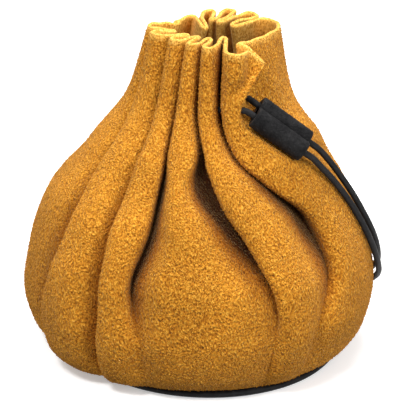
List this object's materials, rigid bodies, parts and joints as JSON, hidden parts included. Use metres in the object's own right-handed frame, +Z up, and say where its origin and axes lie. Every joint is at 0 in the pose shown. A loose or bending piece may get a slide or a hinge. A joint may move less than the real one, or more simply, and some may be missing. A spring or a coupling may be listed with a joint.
{
  "type": "gathered drawstring pouch",
  "caption": "Gathered suede drawstring pouch with a round leather base, a cord through the pleated neck, a leather slider and knotted cord ends.",
  "frame": {"origin": "middle of the flat underside of the round base, on the surface the pouch rests on", "axes": "+Z up through the mouth, -Y towards the picture's viewer, +X to the viewer's right, the side of the slider and the cord ends"},
  "size_m": [0.131, 0.1216, 0.1183],
  "materials": {
    "suede": "napped mustard suede",
    "dark_leather": "matt black leather",
    "cord": "round black leather cord"
  },
  "bodies": {
    "root": {"pouch_body": "suede", "base_disc": "dark_leather", "neck_cord": "cord", "cord_slider": "dark_leather", "cord_tail_lower": "cord", "cord_tail_upper": "cord", "end_knot": "cord"}
  },
  "joints": []
}
